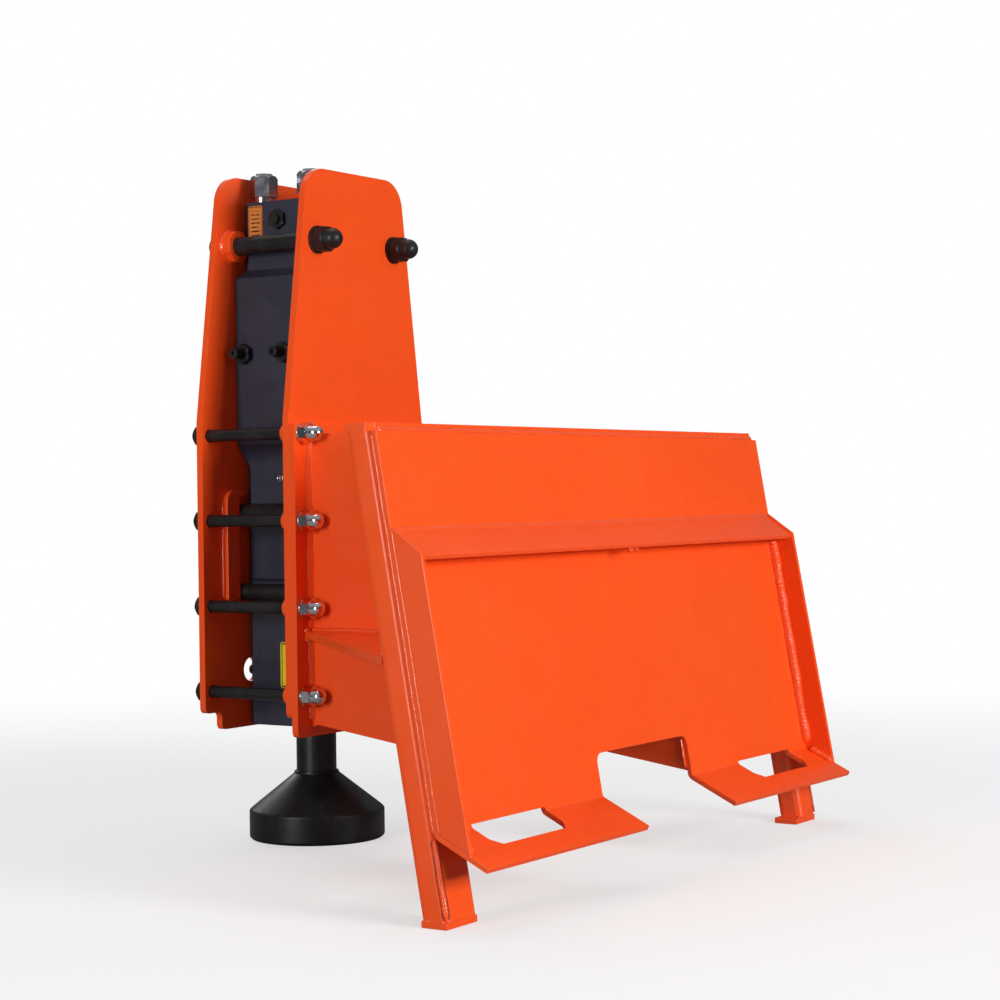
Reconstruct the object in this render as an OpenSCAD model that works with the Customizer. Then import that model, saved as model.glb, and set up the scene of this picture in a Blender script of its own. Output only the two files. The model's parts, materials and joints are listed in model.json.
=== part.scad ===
// Hydraulic breaker hammer that drives posts from a skid-steer quick attach.
// Millimetres. The tool's axis is Z, with the ground at zero. The quick-attach plate is
// at -Y, the breaker is at the origin, and X is the machine's width.

/* [Quick attach plate] */
// Width of the quick-attach plate, across the machine
plate_w = 1150; // [1100:5:1200]
// Thickness of the plate and of its bent tabs
plate_t = 8; // [6:1:12]
// Height of the plate's front face, from the bend to the top edge
plate_h = 555; // [500:5:620]
// Lean of the plate and legs from upright, top towards the breaker
plate_lean = 10; // [0:1:20]
// Height of the plate's bend over the ground
bend_z = 127; // [100:1:180]
// Distance from the tool's axis to the front of the bend
bend_y = 650; // [600:5:750]
// Length of the bent lower tabs
tab_l = 88; // [70:1:110]
// Angle of the tabs below the plate's normal
tab_angle = 36; // [20:1:50]
// Height of the hook lip's root above the bend
lip_h = 415; // [390:1:430]
// Length of the hook lip
lip_l = 60; // [40:1:80]
// Angle of the hook lip below the plate's normal
lip_angle = 45; // [30:1:50]
// Width of the cut-out between the tabs
cutout_w = 282; // [200:2:400]
// Height of the cut-out above the bend
cutout_h = 64; // [40:1:120]
// Width of each latch pin slot
slot_w = 190; // [80:5:220]
// Distance from the middle to the centre of each latch pin slot
slot_x = 400; // [350:5:450]

/* [Stand] */
// Width of the left leg's rectangular tube, and of both foot plates
leg_w = 75; // [60:1:90]
// Width of the right leg's rectangular tube
right_leg_w = 55; // [50:1:90]
// Depth of each leg's rectangular tube
leg_d = 45; // [40:1:60]
// Wall of each leg's tube
leg_wall = 4; // [3:0.5:6]
// Thickness of each foot plate
foot_t = 10; // [6:1:15]
// Thickness of the cover along the top of the plate
cover_t = 12; // [6:1:16]

/* [Adapter] */
// Width of the bolting flange and of the breaker's side plates
flange_w = 376; // [340:2:420]
// Thickness of the bolting flange
flange_t = 12; // [10:1:16]
// Height of the flange's bottom edge over the ground
flange_z = 191; // [170:1:220]
// Height of the flange's top edge over the ground
flange_top = 698; // [650:1:740]
// Thickness of the adapter's side plates and braces
web_t = 10; // [8:1:15]

/* [Breaker housing] */
// Clear gap between the two side plates
gap = 170; // [150:1:200]
// Thickness of each side plate
side_t = 12; // [10:1:16]
// Height of the side plates' top edge over the ground
side_top = 1122; // [1050:1:1200]
// Height where the side plates start to narrow
taper_z = 706; // [650:1:760]
// Width of the side plates across the top, before the corners are rounded
side_top_w = 260; // [220:2:320]
// Half the distance between the two columns of tie bolts
tie_x = 169; // [150:1:180]
// Height of the lowest tie bolts
tie_z = 258; // [240:1:280]
// Distance between tie bolts up a column
tie_pitch = 142; // [120:1:160]
// Tie bolt diameter
tie_d = 20; // [16:1:24]
// Half the distance between the two large bolts at the top
top_x = 107; // [90:1:110]
// Height of the two large bolts at the top
top_z = 1003; // [950:1:1040]
// Diameter of the two large bolts at the top
top_d = 30; // [24:1:36]

/* [Breaker body] */
// Height of the front head's lower end over the ground
head_z = 196; // [180:1:220]
// Height of the joint between the front head and the cylinder
joint_z = 595; // [560:1:620]
// Height of the joint between the cylinder and the back head
back_z = 977; // [940:1:1000]
// Height of the top of the back head
body_top = 1078; // [1050:1:1110]
// Width of the cylinder block
block_w = 200; // [180:2:220]
// Width of the front head's neck and of the back head
neck_w = 170; // [150:2:180]
// Diameter of the tool's shank
shank_d = 68; // [60:1:80]
// Travel of the tool between its two stops
tool_travel = 50; // [30:1:70]
// Stroke of the piston
stroke = 75; // [50:1:90]

/* [Driving cup] */
// Outside diameter of the cup
cup_d = 230; // [180:5:280]
// Inside diameter of the cup, where a post stands
cup_bore = 200; // [150:5:250]
// Depth of the cup's bore
cup_depth = 44; // [30:1:80]
// Height of the cup's straight skirt
skirt_h = 52; // [40:1:80]
// Height of the cup where its cone meets the shank
cone_top = 114; // [90:1:150]

/* [Hidden] */
$fn = 64;
sides = [-1, 1];
rows = [0:3];
orange = "orangered";
black = "dimgray";
dark = "darkslategray";
steel = "silver";
bronze = "goldenrod";
rubber = "black";

// plate, lip, gussets and tabs
plate_x = plate_w / 2;
bend_r = 6;
bend_turn = 90 - tab_angle;
bend_rise = bend_r * tan(bend_turn / 2);
cutout_r = 15;
gusset_t = 8;
gusset_l = 56;
gusset_top = 4;
slot_front = 42;
slot_back = 12;
slot_up = 4;
slot_corner = 14;
lip_y = -lip_l * cos(lip_angle);
lip_z = lip_h - lip_l * sin(lip_angle);

// legs, feet and cover
leg_r = 12;
foot_d = 42;
cover_z = floor(bend_z + plate_h * cos(plate_lean)) - 2;
cover_y = plate_back(cover_z);
cover_back = cover_y + leg_d / cos(plate_lean);
cover_corner = 10;

// adapter
side_y = gap / 2;
near_y = -side_y - side_t;
flange_y = near_y - flange_t;
flange_r = 10;
web_in = cutout_w / 2 + 1;
web_out = web_in + web_t;
web_top = cover_z + cover_t;
web_z = 210;
web_end_z = bend_z + 6;
web_clip = 13;
brace_t = 12;
brace_z = 351;
brace_lug = 16;
brace_inset = 4;

// side plates
side_x = flange_w / 2;
side_z = flange_z + 1;
notch_w = 42;
notch_h = 30;
corner_r = 50;
foot_r = 10;
taper = atan((side_x - side_top_w / 2) / (side_top - taper_z));
port_x = 67;
port_z = 288;
port_r = 20.5;
hole_gap = 1;

// bosses, collars, nuts and bolt heads
boss_w = 51;
boss_t = 18;
collar_d = 31;
collar_t = 10;
tie_af = 30;
tie_head = 12.5;
washer_d = 33;
washer_t = 3;
acorn_hex = 15;
acorn_l = 41;
top_af = 40;
top_head = 19;
cap_flange_d = 46;
cap_flange_t = 5;
cap_hex = 20;
cap_l = 50;

// keys that lock the body between the side plates
bracket_t = 10;
bracket_x = 137;
bracket_w = 32;
bracket_top = 593;
bracket_bar = 8;
bracket_z = 409;
key_out = bracket_x - bracket_w - 0.5;
upper_key_r = 19;
upper_key_z = 551;
lower_key_r = 14;
lower_key_z = 421;
key_l = gap - 1;

// breaker body
body_d = gap - 1;
body_edge = 18;
block_edge = 3;
waist_w = 150;
waist_top = 524;
waist_z = 443;
step_h = 5;
lower_w = 166;
fillet_z = 632;
block_z = 670;
shoulder_z = 950;
shoulder_top = 964;
bolt_x = 30;
bolt_y = 70;
bolt_r = 10;
bolt_z = 352;
screw_head_r = 15;
screw_head = 20;
screw_pocket = 24;

// bore of the front head, from the bottom up
run = 0.06;
shank_r = shank_d / 2;
seal_h = 10;
seal_r = 42;
bush_r = 46;
bush_h = 80;
pin_bore_r = shank_r + 2;
flat_y = 20;
pin_r = 17;
pin_y = flat_y + 0.3 + pin_r;
pin_z = 310;
plug_r = 20;
plug_t = 13;
lock_r = 8;
upper_bush_z = 400;
upper_bush_r = 44;
thrust_z = 470;
thrust_t = 30;
thrust_r = 48;
shank_top_r = 30;
tool_top = 560;

// piston, its bore and its seals
rod_r = 31;
piston_r = 35;
piston_z = tool_top + 0.5;
head_low = 720;
head_high = 830;
bore_z = 700;
carrier_z = 912;
carrier_r = 42;
upper_rod_r = 30;
piston_top = 982;
gas_r = 36;
gas_top = piston_top + stroke + 3;
chamber_r = 40;
chamber_h = 16;
oil_seal_z = [625, 650, 675];
oil_seal_r = 37;
gas_seal_z = [926, 942, 958];
gas_seal_r = 35;
ring_h = 7;
ring_gap = 0.3;

// control valve
valve_x = 66;
valve_z = 800;
sleeve_r = 18;
sleeve_l = 160;
spool_r = 13;
spool_travel = 12;
spool_l = sleeve_l - spool_travel;
land_h = 16;

// fittings on the body
fitting_x = -60;
fitting_y = 50;
fitting_r = 11;
fitting_depth = 26;
neck_r = 17;
neck_h = 10;
nipple_r = 13;
nipple_h = 30;
cap_af = 41;
cap_h = 36;
adjuster_z = 822;
adjuster_in = 26;
adjuster_out = 34;
adjuster_r = 9;
lock_nut_af = 30;
lock_nut_t = 12;
cylinder_adjuster_y = 62;
valve_adjuster_y = -22;
gas_valve_z = 1046;
gas_valve_r = 8;
gas_valve_af = 30;
gas_valve_hex = 8;
gas_cap_r = 9;
gas_cap_l = 6;
nipple_z = 612;
grease_r = 4;
grease_in = 10;
grease_out = 10;
label_t = 0.6;

// ---------- helpers ----------

// Y of the plate's front face and back face at a height over the ground
function plate_front(z) = -bend_y + (z - bend_z) * tan(plate_lean);
function plate_back(z) = plate_front(z) + plate_t / cos(plate_lean);

// points of an arc in the plane
function arc(c, r, from, to, steps) = [
    for (i = [0:steps])
        let (a = from + (to - from) * i / steps)
        c + r * [cos(a), sin(a)]
];

// a point turned about the plane's origin
function swung(p, a) = [p[0] * cos(a) - p[1] * sin(a), p[0] * sin(a) + p[1] * cos(a)];

// an outline's right half and its mirror image, going round anticlockwise
function mirrored(half) = concat(
    half,
    [for (i = [len(half) - 1:-1:0]) [-half[i][0], half[i][1]]]
);

// the plate's own frame: its front face is y = 0 and its bend is z = 0
module on_plate() {
    translate([0, -bend_y, bend_z]) rotate([-plate_lean, 0, 0]) children();
}

// an outline drawn in Y and Z, given a thickness along +X
module along_x(x, t) {
    translate([x, 0, 0]) rotate([90, 0, 90]) linear_extrude(t) children();
}

// an outline drawn in X and Z, given a thickness along +Y
module along_y(y, t) {
    translate([0, y + t, 0]) rotate([90, 0, 0]) linear_extrude(t) children();
}

// a cylinder along +Y
module rod_y(x, y, z, r, l) {
    translate([x, y, z]) rotate([-90, 0, 0]) cylinder(r = r, h = l);
}

// a cylinder along +X
module rod_x(x, y, z, r, l) {
    translate([x, y, z]) rotate([0, 90, 0]) cylinder(r = r, h = l);
}

// a hexagonal bar along Z, its corners turned off at the far end
module hex(af, h) {
    corner = af / cos(30);
    intersection() {
        cylinder(d = corner, h = h, $fn = 6);
        union() {
            cylinder(d = corner + 1, h = h * 0.85);
            translate([0, 0, h * 0.85]) cylinder(d1 = corner + 1, d2 = af, h = h * 0.15);
        }
    }
}

// a rectangle with rounded corners, centred
module rounded(w, d, r) {
    square([w - 2 * r, d], center = true);
    square([w, d - 2 * r], center = true);
    for (x = sides) for (y = sides) translate([x * (w / 2 - r), y * (d / 2 - r)]) circle(r);
}

// an upright block with its four corners cut at 45 degrees
module block(w, d, c, z0, z1) {
    x = w / 2;
    y = d / 2;
    translate([0, 0, z0]) linear_extrude(z1 - z0) polygon([
        [x, y - c], [x - c, y], [c - x, y], [-x, y - c],
        [-x, c - y], [c - x, -y], [x - c, -y], [x, c - y]
    ]);
}

// an upright cylinder on the tool's axis
module post(r, z0, z1) {
    translate([0, 0, z0]) cylinder(r = r, h = z1 - z0);
}

// an upright closed ring on the tool's axis
module ring(r_in, r_out, z0, z1) {
    difference() {
        post(r_out, z0, z1);
        post(r_in, z0 - 1, z1 + 1);
    }
}

// a copy at each through bolt
module at_through_bolts() {
    for (x = sides) for (y = sides) translate([x * bolt_x, y * bolt_y, 0]) children();
}

// a copy at each tie bolt at the given Y, with its own Z pointing along +Y
module at_tie_bolts(y) {
    for (x = sides) for (k = rows)
        translate([x * tie_x, y, tie_z + k * tie_pitch]) rotate([-90, 0, 0]) children();
}

// a copy at each large top bolt at the given Y, with its own Z pointing along +Y
module at_top_bolts(y) {
    for (x = sides) translate([x * top_x, y, top_z]) rotate([-90, 0, 0]) children();
}

// ---------- quick-attach plate ----------

// side view of the plate with its bent tab
module plate_profile() {
    centre = [-bend_r, bend_rise];
    polygon(concat(
        [[0, plate_h], [plate_t, plate_h]],
        arc(centre, bend_r + plate_t, 0, -bend_turn, 9),
        [for (x = [bend_r + plate_t, bend_r]) centre + swung([x, bend_rise - tab_l], -bend_turn)],
        arc(centre, bend_r, -bend_turn, 0, 6)
    ));
}

module cutout_outline() {
    x = cutout_w / 2;
    polygon(mirrored(concat(
        [[x, -tab_l]],
        arc([x - cutout_r, cutout_h - cutout_r], cutout_r, 0, 90, 6)
    )));
}

// top view of one latch pin slot
module slot_outline() {
    x = slot_w / 2;
    polygon([
        [slot_corner - x, -slot_front], [x - slot_corner, -slot_front], [x, slot_corner - slot_front],
        [x, slot_back], [-x, slot_back], [-x, slot_corner - slot_front]
    ]);
}

module skid_plate() {
    color(orange) difference() {
        on_plate() along_x(-plate_x, plate_w) plate_profile();
        translate([-plate_w, -bend_y, cover_z]) cube([2 * plate_w, bend_y, 50]);
        on_plate() along_y(-tab_l, 2 * tab_l) cutout_outline();
        for (x = sides) translate([x * slot_x, -bend_y, bend_z - tab_l])
            linear_extrude(tab_l + slot_up) slot_outline();
    }
}

module hook_lip() {
    under = plate_t * [sin(lip_angle), -cos(lip_angle)];
    color(orange) on_plate() along_x(gusset_t - plate_x, plate_w - 2 * gusset_t) polygon([
        [0, lip_h], [lip_y, lip_z], [lip_y, lip_z] + under, [0, lip_h - plate_t / cos(lip_angle)]
    ]);
}

// an end gusset from the lip down to the tab
module gusset(x) {
    foot = gusset_l * [-cos(tab_angle), -sin(tab_angle)];
    color(orange) on_plate() along_x(x, gusset_t) polygon(concat(
        [[0, lip_h + gusset_top], [lip_y, lip_z + gusset_top], [lip_y, lip_z], foot],
        arc([-bend_r, bend_rise], bend_r, -bend_turn, 0, 6)
    ));
}

module side_gusset_left() {
    gusset(-plate_x);
}

module side_gusset_right() {
    gusset(plate_x - gusset_t);
}

// ---------- stand ----------

module top_cover() {
    x = plate_x;
    color(orange) translate([0, 0, cover_z]) linear_extrude(cover_t) polygon(mirrored([
        [x - cover_corner, cover_y], [x, cover_y + cover_corner], [x, cover_back]
    ]));
}

// a leg of rectangular tube behind the end of the plate
module leg(side, w) {
    color(orange) difference() {
        on_plate() translate([side * (plate_x - w / 2), plate_t + leg_d / 2, -2 * bend_z])
            linear_extrude(plate_h + 3 * bend_z) difference() {
                rounded(w, leg_d, leg_r);
                rounded(w - 2 * leg_wall, leg_d - 2 * leg_wall, leg_r - leg_wall);
            }
        translate([-plate_w, -bend_y, cover_z]) cube([2 * plate_w, bend_y, 2 * bend_z]);
        translate([-plate_w, -2 * bend_y, foot_t - 3 * bend_z])
            cube([2 * plate_w, 2 * bend_y, 3 * bend_z]);
    }
}

module stand_leg_left() {
    leg(-1, leg_w);
}

module stand_leg_right() {
    leg(1, right_leg_w);
}

// a plate under a leg
module foot(side) {
    y = plate_front(foot_t) + (plate_t + leg_d / 2) / cos(plate_lean);
    color(orange) translate([side * (plate_x - leg_w / 2), y, foot_t / 2])
        cube([leg_w, foot_d, foot_t], center = true);
}

module foot_plate_left() {
    foot(-1);
}

module foot_plate_right() {
    foot(1);
}

// ---------- adapter between the plate and the breaker ----------

// front view of the flange
module flange_outline() {
    polygon(mirrored(concat(
        arc([side_x - flange_r, flange_z + flange_r], flange_r, -90, 0, 6),
        [[side_x, flange_top]]
    )));
}

module adapter_flange() {
    color(orange) difference() {
        along_y(flange_y, flange_t) flange_outline();
        at_tie_bolts(flange_y - 1) cylinder(d = tie_d + 2 * hole_gap, h = flange_t + 2);
    }
}

// side view of a web between the flange and the plate
module web_outline() {
    polygon([
        [flange_y, web_z - 4], [flange_y, web_top], [cover_back, web_top], [cover_back, cover_z],
        [plate_back(cover_z), cover_z], [plate_back(web_end_z), web_end_z], [flange_y - web_clip, web_z]
    ]);
}

module adapter_side_left() {
    color(orange) along_x(-web_out, web_t) web_outline();
}

module adapter_side_right() {
    color(orange) along_x(web_in, web_t) web_outline();
}

// a flat brace from the flange out to the back of a leg
module brace(side, w) {
    back = plate_front(brace_z);
    color(orange) difference() {
        translate([0, 0, brace_z]) linear_extrude(brace_t) polygon([
            [side * web_out, flange_y],
            [side * (web_out + brace_lug), flange_y],
            [side * (plate_x - brace_inset), back + (plate_t + leg_d) / cos(plate_lean)],
            [side * (plate_x - brace_inset), back],
            [side * web_out, back]
        ]);
        on_plate() translate([-plate_x, -brace_t, 0]) cube([plate_w, brace_t + plate_t, plate_h]);
        on_plate() translate([side * (plate_x - w / 2) - w / 2, 0, 0])
            cube([w, plate_t + leg_d, plate_h]);
    }
}

module side_brace_left() {
    brace(-1, leg_w);
}

module side_brace_right() {
    brace(1, right_leg_w);
}

// ---------- side plates and what is welded to them ----------

// front view of a side plate: upright below, tapered above, stepped at the foot
module side_outline() {
    step_x = side_x - notch_w;
    step_z = side_z + notch_h;
    top_c = [
        side_x - (corner_r + (side_top - corner_r - taper_z) * sin(taper)) / cos(taper),
        side_top - corner_r
    ];
    polygon(mirrored(concat(
        arc([step_x - foot_r, side_z + foot_r], foot_r, -90, 0, 6),
        arc([step_x + foot_r, step_z - foot_r], foot_r, 180, 90, 6),
        arc([side_x - foot_r, step_z + foot_r], foot_r, -90, 0, 6),
        [[side_x, taper_z]],
        arc(top_c, corner_r, taper, 90, 14)
    )));
}

module side_plate(y) {
    color(orange) difference() {
        along_y(y, side_t) side_outline();
        at_tie_bolts(y - 1) cylinder(d = tie_d + 2 * hole_gap, h = side_t + 2);
        at_top_bolts(y - 1) cylinder(d = top_d + hole_gap, h = side_t + 2);
        for (x = sides) rod_y(x * port_x, y - 1, port_z, port_r, side_t + 2);
    }
}

module side_plate_near() {
    side_plate(near_y);
}

module side_plate_far() {
    side_plate(side_y);
}

// eight-sided bosses round the large bolts, cut flat beside the body
module top_bosses() {
    color(orange) difference() {
        at_top_bolts(side_y - boss_t) difference() {
            rotate(22.5) cylinder(d = boss_w / cos(22.5), h = boss_t, $fn = 8);
            translate([0, 0, -1]) cylinder(d = top_d + hole_gap, h = boss_t + 2);
        }
        block(neck_w + 1, 2 * gap, 0.1, back_z - boss_w, body_top);
    }
}

// short collars round the tie bolts, inside the near side plate
module rod_collars() {
    color(orange) at_tie_bolts(-side_y) difference() {
        cylinder(d = collar_d, h = collar_t);
        translate([0, 0, -1]) cylinder(d = tie_d + hole_gap, h = collar_t + 2);
    }
}

// front view of the hooked brackets that hold the keys in the body
module bracket_outline() {
    inner_r = 12;
    outer_r = 20;
    in_x = bracket_x - bracket_w;
    stop_x = neck_w / 2 + 3;
    for (side = sides) scale([side, 1]) polygon(concat(
        [[bracket_x, bracket_z]],
        arc([bracket_x - outer_r, bracket_top - outer_r], outer_r, 0, 90, 8),
        [[stop_x, bracket_top], [stop_x, bracket_top - bracket_bar]],
        arc([in_x - inner_r, bracket_top - bracket_bar - inner_r], inner_r, 90, 0, 6),
        [[in_x, bracket_z]]
    ));
}

module key_brackets_near() {
    color(orange) along_y(-side_y, bracket_t) bracket_outline();
}

module key_brackets_far() {
    color(orange) along_y(side_y - bracket_t, bracket_t) bracket_outline();
}

// a round key on each side of the body, half sunk in it
module keys(r, z) {
    for (x = sides) rod_y(x * (key_out - r), -key_l / 2, z, r, key_l);
}

module upper_keys() {
    color(dark) keys(upper_key_r, upper_key_z);
}

module lower_keys() {
    color(dark) keys(lower_key_r, lower_key_z);
}

// ---------- bolts and nuts ----------

// the large bolts, each with its hex head behind the far side plate
module top_bolts() {
    start = near_y - cap_l + 20;
    color(dark) at_top_bolts(start) union() {
        cylinder(d = top_d, h = side_y + side_t - start);
        translate([0, 0, side_y + side_t - start]) hex(top_af, top_head);
    }
}

// a domed nut whose closed end points away along its own Z
module domed_nut(af, hex_h, bore_d, total, seat_d, seat_t) {
    dome_r = af * 0.425;
    difference() {
        union() {
            cylinder(d = seat_d, h = seat_t);
            translate([0, 0, seat_t]) hex(af, hex_h);
            translate([0, 0, seat_t]) cylinder(r1 = af * 0.485, r2 = dome_r, h = total - seat_t - dome_r);
            translate([0, 0, total - dome_r]) sphere(r = dome_r);
        }
        translate([0, 0, -1]) cylinder(d = bore_d + 2 * run, h = total - dome_r * 0.7 + 1);
    }
}

module top_cap_nuts() {
    color(dark) at_top_bolts(near_y) rotate([180, 0, 0])
        domed_nut(top_af, cap_hex, top_d, cap_l, cap_flange_d, cap_flange_t);
}

// the long tie bolts, each with its hex head behind the far side plate
module tie_bolts() {
    start = flange_y - acorn_l + 14;
    color(dark) at_tie_bolts(start) union() {
        cylinder(d = tie_d, h = side_y + side_t - start);
        translate([0, 0, side_y + side_t - start]) hex(tie_af, tie_head);
    }
}

module tie_washers() {
    color(dark) at_tie_bolts(flange_y - washer_t) difference() {
        cylinder(d = washer_d, h = washer_t);
        translate([0, 0, -1]) cylinder(d = tie_d + hole_gap, h = washer_t + 2);
    }
}

module tie_acorn_nuts() {
    color(steel) at_tie_bolts(flange_y - washer_t) rotate([180, 0, 30])
        domed_nut(tie_af, acorn_hex, tie_d, acorn_l - washer_t, tie_af, 1);
}

// ---------- breaker body ----------

module back_head() {
    color(black) difference() {
        block(neck_w, body_d, body_edge, back_z, body_top);
        post(gas_r, back_z - 1, gas_top);
        at_through_bolts() {
            translate([0, 0, back_z - 1]) cylinder(r = bolt_r + hole_gap / 2, h = body_top - back_z + 2);
            translate([0, 0, body_top - screw_pocket])
                cylinder(r = screw_head_r + hole_gap / 2, h = screw_pocket + 1);
        }
        for (y = sides) translate([fitting_x, y * fitting_y, body_top - fitting_depth])
            cylinder(r = fitting_r, h = fitting_depth + 1);
        rod_x(-neck_w / 2 - 1, 0, gas_valve_z, gas_valve_r, neck_w / 2 - gas_r + 8);
    }
}

// front view of the cylinder: flared out above its neck, shouldered in at the top
module cylinder_outline() {
    x = block_w / 2;
    neck = neck_w / 2;
    rise = block_z - fillet_z;
    flare = x - neck;
    r = (flare * flare + rise * rise) / (2 * flare);
    polygon(mirrored(concat(
        [[neck, joint_z]],
        arc([neck + r, fillet_z], r, 180, 180 - asin(rise / r), 10),
        [[x, shoulder_z], [neck, shoulder_top], [neck, back_z]]
    )));
}

// how far the corners of the cylinder reach from its axis, as deep chamfers fade into shallow ones
module corner_outline() {
    neck = (neck_w / 2 + body_d / 2 - body_edge) * sin(45);
    wide = (block_w / 2 + body_d / 2 - block_edge) * sin(45);
    polygon(mirrored([
        [neck, joint_z], [neck, fillet_z], [wide, block_z], [wide, shoulder_z],
        [neck, shoulder_top], [neck, back_z]
    ]));
}

module cylinder_block() {
    intersection() {
        along_y(-body_d / 2, body_d) cylinder_outline();
        rotate(45) along_y(-block_w, 2 * block_w) corner_outline();
        rotate(-45) along_y(-block_w, 2 * block_w) corner_outline();
    }
}

// where the valve sits in the cylinder
module valve_bore() {
    translate([valve_x, 0, valve_z]) cylinder(r = sleeve_r, h = back_z - valve_z + 1);
}

module cylinder_bore() {
    post(rod_r + run, joint_z - 1, bore_z + 1);
    post(piston_r + run, bore_z, carrier_z + 1);
    post(carrier_r, carrier_z, back_z + 1);
    for (z = oil_seal_z) post(oil_seal_r, z, z + ring_h);
    for (z = [bore_z + 4, head_high + 8]) post(chamber_r, z, z + chamber_h);
}

module cylinder_casting() {
    x = -block_w / 2;
    difference() {
        cylinder_block();
        cylinder_bore();
        valve_bore();
        at_through_bolts() translate([0, 0, joint_z - 1])
            cylinder(r = bolt_r + hole_gap / 2, h = back_z - joint_z + 2);
        for (y = [cylinder_adjuster_y, valve_adjuster_y])
            rod_x(x - 1, y, adjuster_z, adjuster_r + run, adjuster_in + 1);
        rod_x(-neck_w / 2 - 1, 0, nipple_z, grease_r, grease_in + 1);
    }
}

module cylinder_node() {
    color(black) cylinder_casting();
}

// front view of the front head: neck, waist and lower block
module head_outline() {
    polygon(mirrored([
        [lower_w / 2 - 3, head_z], [lower_w / 2, head_z + 3], [lower_w / 2, waist_z - step_h],
        [waist_w / 2, waist_z], [waist_w / 2, waist_top], [neck_w / 2, waist_top], [neck_w / 2, joint_z]
    ]));
}

module head_bore() {
    bush_z = head_z + seal_h;
    post(seal_r, head_z - 1, bush_z + 1);
    post(bush_r, bush_z, bush_z + bush_h);
    post(pin_bore_r, bush_z + bush_h - 1, upper_bush_z + 1);
    post(upper_bush_r, upper_bush_z, thrust_z + 1);
    post(thrust_r, thrust_z, joint_z + 1);
}

module front_head() {
    color(black) difference() {
        intersection() {
            along_y(-body_d / 2, body_d) head_outline();
            block(neck_w, body_d, body_edge, head_z, joint_z);
        }
        head_bore();
        keys(upper_key_r, upper_key_z);
        keys(lower_key_r, lower_key_z);
        for (y = sides) {
            rod_x(-neck_w / 2, y * pin_y, pin_z, pin_r, neck_w);
            for (x = sides) rod_x(x * lower_w / 2 - plug_t, y * pin_y, pin_z, plug_r, 2 * plug_t);
        }
        rod_y(-port_x, -body_d / 2 - 1, port_z, lock_r, body_d + 2);
        at_through_bolts() translate([0, 0, bolt_z]) cylinder(r = bolt_r, h = joint_z - bolt_z + 1);
    }
}

// long socket head screws that hold the three castings together
module through_bolts() {
    head_low_z = body_top - screw_pocket;
    color(dark) at_through_bolts() difference() {
        union() {
            translate([0, 0, bolt_z]) cylinder(r = bolt_r, h = head_low_z - bolt_z);
            translate([0, 0, head_low_z]) cylinder(r = screw_head_r, h = screw_head);
        }
        translate([0, 0, head_low_z + screw_head - 9]) cylinder(r = 9.8, h = 10, $fn = 6);
    }
}

// ---------- fittings on the body ----------

module hose_adapters() {
    color(dark) for (y = sides) translate([fitting_x, y * fitting_y, body_top]) union() {
        translate([0, 0, -fitting_depth]) cylinder(r = fitting_r, h = fitting_depth);
        cylinder(r = neck_r, h = neck_h);
        translate([0, 0, neck_h]) cylinder(r = nipple_r, h = nipple_h);
    }
}

module adapter_caps() {
    color(steel) for (y = sides) translate([fitting_x, y * fitting_y, body_top + neck_h]) difference() {
        union() {
            hex(cap_af, cap_h);
            translate([0, 0, cap_h]) cylinder(d1 = cap_af * 0.8, d2 = cap_af * 0.7, h = 4);
        }
        translate([0, 0, -1]) cylinder(r = nipple_r + run, h = nipple_h + 1);
    }
}

module gas_valve() {
    x = -neck_w / 2;
    color(dark) union() {
        rod_x(x, 0, gas_valve_z, gas_valve_r, neck_w / 2 - gas_r);
        translate([x, 0, gas_valve_z]) rotate([0, -90, 0]) hex(gas_valve_af, gas_valve_hex);
    }
}

module gas_valve_cap() {
    color(dark) rod_x(-neck_w / 2 - gas_valve_hex - gas_cap_l, 0, gas_valve_z, gas_cap_r, gas_cap_l);
}

// an adjusting screw with a driving socket in its outer end
module adjuster(y) {
    x = -block_w / 2;
    color(dark) difference() {
        rod_x(x - adjuster_out, y, adjuster_z, adjuster_r, adjuster_in + adjuster_out);
        translate([x - adjuster_out - 1, y, adjuster_z]) rotate([0, 90, 0])
            cylinder(r = 4, h = 7, $fn = 6);
    }
}

module cylinder_adjuster() {
    adjuster(cylinder_adjuster_y);
}

module valve_adjuster() {
    adjuster(valve_adjuster_y);
}

module adjuster_lock_nuts() {
    color(dark) for (y = [cylinder_adjuster_y, valve_adjuster_y])
        translate([-block_w / 2, y, adjuster_z]) rotate([0, -90, 0]) difference() {
            hex(lock_nut_af, lock_nut_t);
            translate([0, 0, -1]) cylinder(r = adjuster_r + run, h = lock_nut_t + 2);
        }
}

module grease_nipple() {
    x = -neck_w / 2;
    color(steel) union() {
        rod_x(x, 0, nipple_z, grease_r, grease_in);
        translate([x, 0, nipple_z]) rotate([0, -90, 0]) hex(11, 5);
        rod_x(x - grease_out, 0, nipple_z, 3, grease_out);
        translate([x - grease_out, 0, nipple_z]) sphere(r = 3.4);
    }
}

// ---------- inside the front head ----------

module front_bush() {
    bush_z = head_z + seal_h;
    color(bronze) ring(shank_r + run, bush_r, bush_z, bush_z + bush_h);
}

module upper_bush() {
    color(bronze) ring(shank_r + run, upper_bush_r, upper_bush_z, thrust_z);
}

module thrust_ring() {
    color(steel) ring(shank_top_r + 0.5, thrust_r, thrust_z, thrust_z + thrust_t);
}

module dust_seal() {
    color(rubber) ring(shank_r + ring_gap, seal_r, head_z, head_z + seal_h);
}

// cross pins that stop the tool at the ends of its flats
module retaining_pins() {
    l = lower_w - 2 * plug_t;
    color(steel) difference() {
        for (y = sides) rod_x(-l / 2, y * pin_y, pin_z, pin_r, l);
        rod_y(-port_x, -body_d / 2, port_z, lock_r, body_d);
    }
}

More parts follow.
